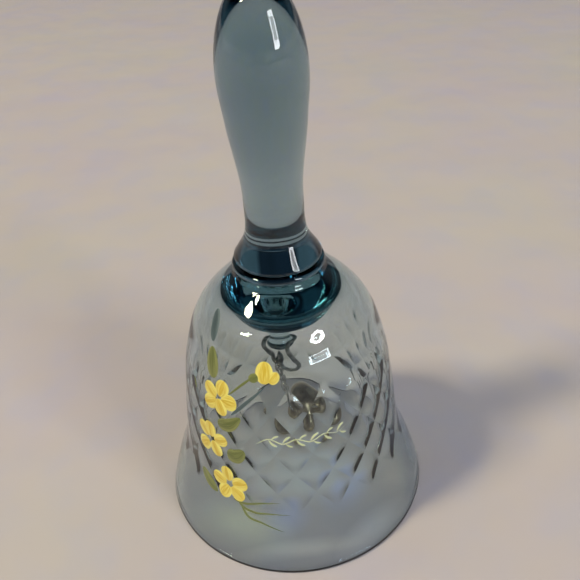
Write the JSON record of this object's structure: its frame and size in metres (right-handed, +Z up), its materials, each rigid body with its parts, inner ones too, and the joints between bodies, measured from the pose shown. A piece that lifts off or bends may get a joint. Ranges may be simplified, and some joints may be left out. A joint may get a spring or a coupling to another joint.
{
  "type": "table bell",
  "caption": "Glass hand bell that stands on its rim, with a blown bowl, a solid baluster handle and a metal ball clapper on a fine chain inside.",
  "frame": {"origin": "middle of the bell's rim, on the table", "axes": "+Z is up, along the bell's axis and the handle; +X is to the right and -Y is the pictured front"},
  "size_m": [0.087, 0.087, 0.165],
  "materials": {
    "blue_glass": "transparent blue-grey glass, pale where thin and dark where solid, gloss",
    "hanger_steel": "dark grey bent wire",
    "chain_metal": "plated wire, slightly dulled",
    "clapper_metal": "dark brown metal, gloss",
    "enamel_yellow": "raised yellow enamel paint on the glass, brush-stroked",
    "enamel_green": "olive green enamel paint on the glass",
    "enamel_pale": "thin pale yellow enamel line on the glass"
  },
  "bodies": {
    "root": {"bell_bowl": "blue_glass", "collar": "blue_glass", "handle": "blue_glass", "hanger_button": "blue_glass"},
    "hanger": {"hanger_wire": "hanger_steel"},
    "jump_ring": {"jump_ring": "chain_metal"},
    "chain_link_01": {"chain_link_01": "chain_metal"},
    "chain_link_02": {"chain_link_02": "chain_metal"},
    "chain_link_03": {"chain_link_03": "chain_metal"},
    "chain_link_04": {"chain_link_04": "chain_metal"},
    "chain_link_05": {"chain_link_05": "chain_metal"},
    "chain_link_06": {"chain_link_06": "chain_metal"},
    "chain_link_07": {"chain_link_07": "chain_metal"},
    "chain_link_08": {"chain_link_08": "chain_metal"},
    "chain_link_09": {"chain_link_09": "chain_metal"},
    "chain_link_10": {"chain_link_10": "chain_metal"},
    "clapper": {"clapper_eye": "chain_metal", "clapper_ball": "clapper_metal"}
  },
  "joints": [
    {"name": "hanger_swivel", "type": "hinge", "parent": "root", "child": "hanger", "pos_m": [-0.0016, 0, 0.0605], "axis": [0, 0, 1], "continuous": true},
    {"name": "jump_ring_hinge", "type": "hinge", "parent": "hanger", "child": "jump_ring", "pos_m": [-0.00312, 0.00133, 0.04875], "axis": [0.9336, -0.3584, 0], "range_deg": [-50, 7]},
    {"name": "chain_link_01_hinge", "type": "hinge", "parent": "jump_ring", "child": "chain_link_01", "pos_m": [-0.00296, 0.00176, 0.04594], "axis": [0.3538, 0.9217, 0.1593], "range_deg": [-25, 18]},
    {"name": "chain_link_02_hinge", "type": "hinge", "parent": "chain_link_01", "child": "chain_link_02", "pos_m": [-0.00278, 0.00223, 0.04278], "axis": [-0.9336, 0.3584, 0], "range_deg": [-8, 40]},
    {"name": "chain_link_03_hinge", "type": "hinge", "parent": "chain_link_02", "child": "chain_link_03", "pos_m": [-0.00248, 0.00302, 0.03969], "axis": [-0.3459, -0.9011, -0.2616], "range_deg": [-20, 35]},
    {"name": "chain_link_04_hinge", "type": "hinge", "parent": "chain_link_03", "child": "chain_link_04", "pos_m": [-0.00218, 0.0038, 0.0366], "axis": [0.9336, -0.3584, 0], "range_deg": [-30, 10]},
    {"name": "chain_link_05_hinge", "type": "hinge", "parent": "chain_link_04", "child": "chain_link_05", "pos_m": [-0.00176, 0.00488, 0.03362], "axis": [0.3342, 0.8706, 0.3611], "range_deg": [-40, 26]},
    {"name": "chain_link_06_hinge", "type": "hinge", "parent": "chain_link_05", "child": "chain_link_06", "pos_m": [-0.00135, 0.00596, 0.03063], "axis": [-0.9336, 0.3584, 0], "range_deg": [-13, 40]},
    {"name": "chain_link_07_hinge", "type": "hinge", "parent": "chain_link_06", "child": "chain_link_07", "pos_m": [-0.00083, 0.00732, 0.02779], "axis": [-0.3188, -0.8306, -0.4566], "range_deg": [-34, 40]},
    {"name": "chain_link_08_hinge", "type": "hinge", "parent": "chain_link_07", "child": "chain_link_08", "pos_m": [-0.0003, 0.00868, 0.02494], "axis": [0.9336, -0.3584, 0], "range_deg": [-30, 18]},
    {"name": "chain_link_09_hinge", "type": "hinge", "parent": "chain_link_08", "child": "chain_link_09", "pos_m": [0.00032, 0.01032, 0.02226], "axis": [0.3, 0.7815, 0.5471], "range_deg": [-40, 40]},
    {"name": "chain_link_10_hinge", "type": "hinge", "parent": "chain_link_09", "child": "chain_link_10", "pos_m": [0.00095, 0.01195, 0.01958], "axis": [-0.9336, 0.3584, 0], "range_deg": [-28, 40]},
    {"name": "clapper_hinge", "type": "hinge", "parent": "chain_link_10", "child": "clapper", "pos_m": [0.00168, 0.01384, 0.0171], "axis": [-0.2779, -0.7238, -0.6316], "range_deg": [-40, 40]}
  ]
}
